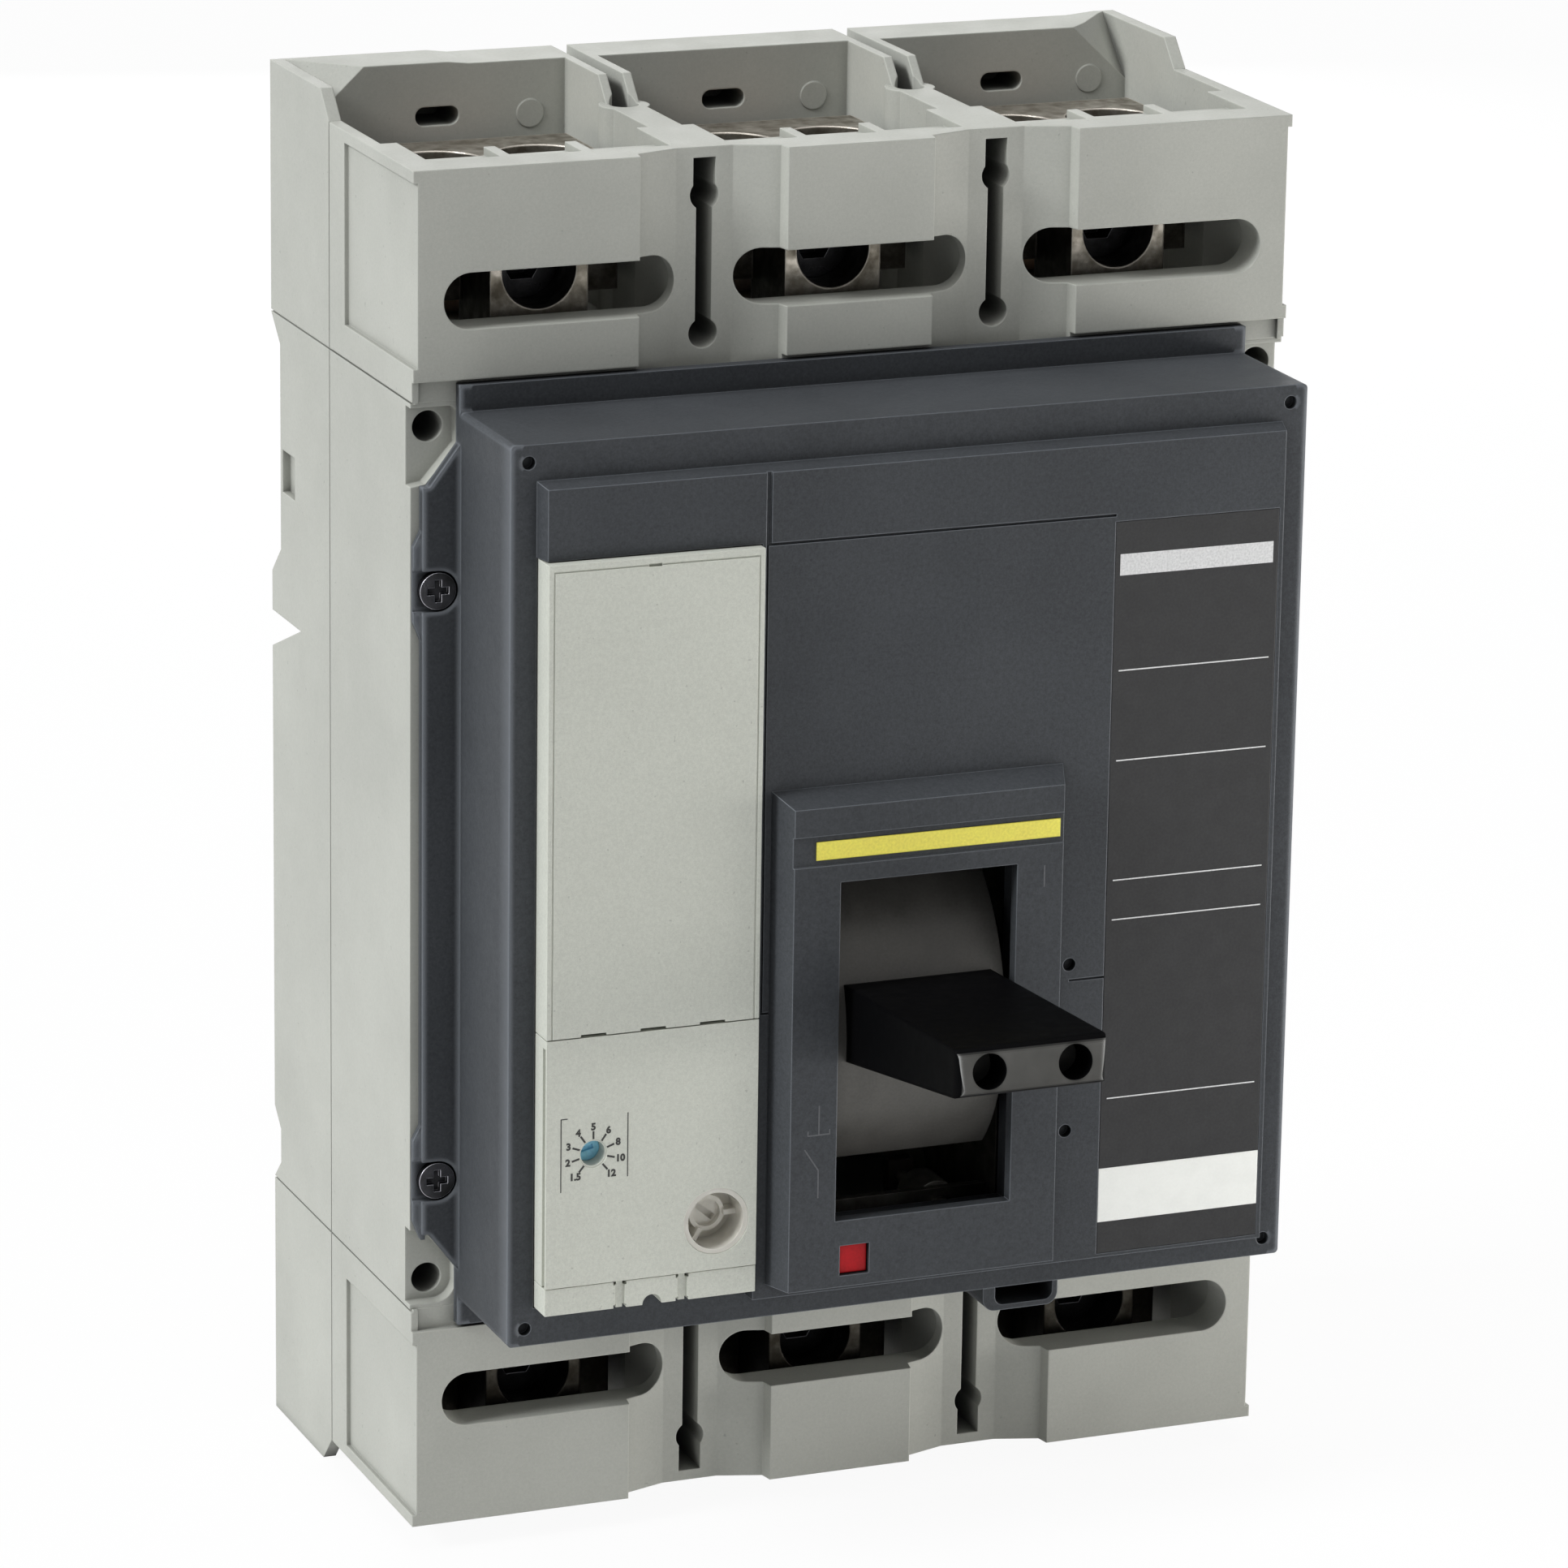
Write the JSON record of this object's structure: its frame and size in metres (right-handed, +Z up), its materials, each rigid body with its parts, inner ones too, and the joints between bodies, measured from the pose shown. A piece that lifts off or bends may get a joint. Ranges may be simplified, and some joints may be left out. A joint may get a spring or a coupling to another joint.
{
  "type": "molded case circuit breaker",
  "caption": "Three-pole molded case circuit breaker with a front toggle, trip unit with setting dial, trip button, cable lugs in open end pockets and corner mounting ears.",
  "frame": {"origin": "middle of the rear mounting face", "axes": "+Z up to the line end, +X to the right seen from the front, front towards -Y"},
  "size_m": [0.21, 0.2051, 0.327],
  "materials": {
    "case_plastic": "fine matte",
    "cover_plastic": "fine matte",
    "trip_plastic": "fine matte",
    "black_plastic": "semi-gloss",
    "red_plastic": "semi-gloss",
    "blue_plastic": "semi-gloss",
    "clear_plastic": "clear",
    "inner_plastic": "moulded",
    "board_green": "lacquered",
    "yellow_film": "printed film",
    "dark_label": "printed film",
    "white_label": "printed film",
    "zinc_steel": "zinc plated",
    "dark_steel": "blackened",
    "spring_steel": "bright wire",
    "lug_metal": "tin plated",
    "lug_screw": "plain",
    "copper": "tin plated copper"
  },
  "bodies": {
    "case": {"rear_base": "case_plastic", "mid_case": "case_plastic", "line_terminal_block": "case_plastic", "load_terminal_block": "case_plastic", "case_screws": "zinc_steel", "front_cover": "cover_plastic", "cover_screws": "dark_steel", "cover_latch": "cover_plastic", "toggle_escutcheon": "cover_plastic", "accent_stripe": "yellow_film", "rating_label": "dark_label", "blank_label": "white_label", "trip_unit_housing": "trip_plastic", "trip_unit_cover": "trip_plastic", "rating_plug": "trip_plastic", "circuit_board": "board_green", "trip_actuator": "zinc_steel", "toggle_pivot_pin": "zinc_steel", "button_spring": "spring_steel", "mechanism_frame": "zinc_steel", "line_terminal_a": "copper", "line_terminal_b": "copper", "line_terminal_c": "copper", "load_terminal_a": "copper", "load_terminal_b": "copper", "load_terminal_c": "copper", "line_lug_a": "lug_metal", "line_lug_b": "lug_metal", "line_lug_c": "lug_metal", "load_lug_a": "lug_metal", "load_lug_b": "lug_metal", "load_lug_c": "lug_metal", "line_lug_screws": "lug_screw", "load_lug_screws": "lug_screw", "arc_chute_a": "zinc_steel", "arc_chute_b": "zinc_steel", "arc_chute_c": "zinc_steel", "current_transformer_a": "inner_plastic", "current_transformer_b": "inner_plastic", "current_transformer_c": "inner_plastic"},
    "toggle": {"toggle_handle": "black_plastic", "toggle_drum": "black_plastic", "toggle_yoke": "zinc_steel", "toggle_springs": "spring_steel"},
    "crossbar": {"contact_crossbar": "inner_plastic", "moving_contact_a": "copper", "moving_contact_b": "copper", "moving_contact_c": "copper"},
    "button": {"trip_button": "red_plastic"},
    "trip_shaft": {"trip_bar": "inner_plastic"},
    "dial": {"setting_dial": "blue_plastic"},
    "fastener": {"cover_fastener": "clear_plastic"}
  },
  "joints": [
    {"name": "toggle_swing", "type": "hinge", "parent": "case", "child": "toggle", "pos_m": [0, -0.098, -0.0384], "axis": [-1, 0, 0], "range_deg": [-37, 23]},
    {"name": "crossbar_turn", "type": "hinge", "parent": "case", "child": "crossbar", "pos_m": [0, -0.066, -0.012], "axis": [-1, 0, 0], "range_deg": [-22.5, 14]},
    {"name": "button_press", "type": "slide", "parent": "case", "child": "button", "axis": [0, 1, 0], "range_m": [0, 0.0025], "stiffness_N_per_m": 600, "springref_m": -0.002, "deforming": ["button_spring"]},
    {"name": "trip_bar_turn", "type": "hinge", "parent": "case", "child": "trip_shaft", "pos_m": [0, -0.09, -0.0965], "axis": [-1, 0, 0], "range_deg": [0, 21]},
    {"name": "dial_turn", "type": "hinge", "parent": "case", "child": "dial", "pos_m": [-0.0771, -0.134, -0.057], "axis": [0, 1, 0], "range_deg": [-35, 245]},
    {"name": "fastener_turn", "type": "hinge", "parent": "case", "child": "fastener", "pos_m": [-0.0478, -0.136, -0.0762], "axis": [0, 1, 0], "range_deg": [0, 90]}
  ],
  "couplings": [
    {"joint": "crossbar_turn", "follows": "toggle_swing", "ratio": 0.6},
    {"joint": "trip_bar_turn", "follows": "button_press", "rad_per_m": 141}
  ]
}
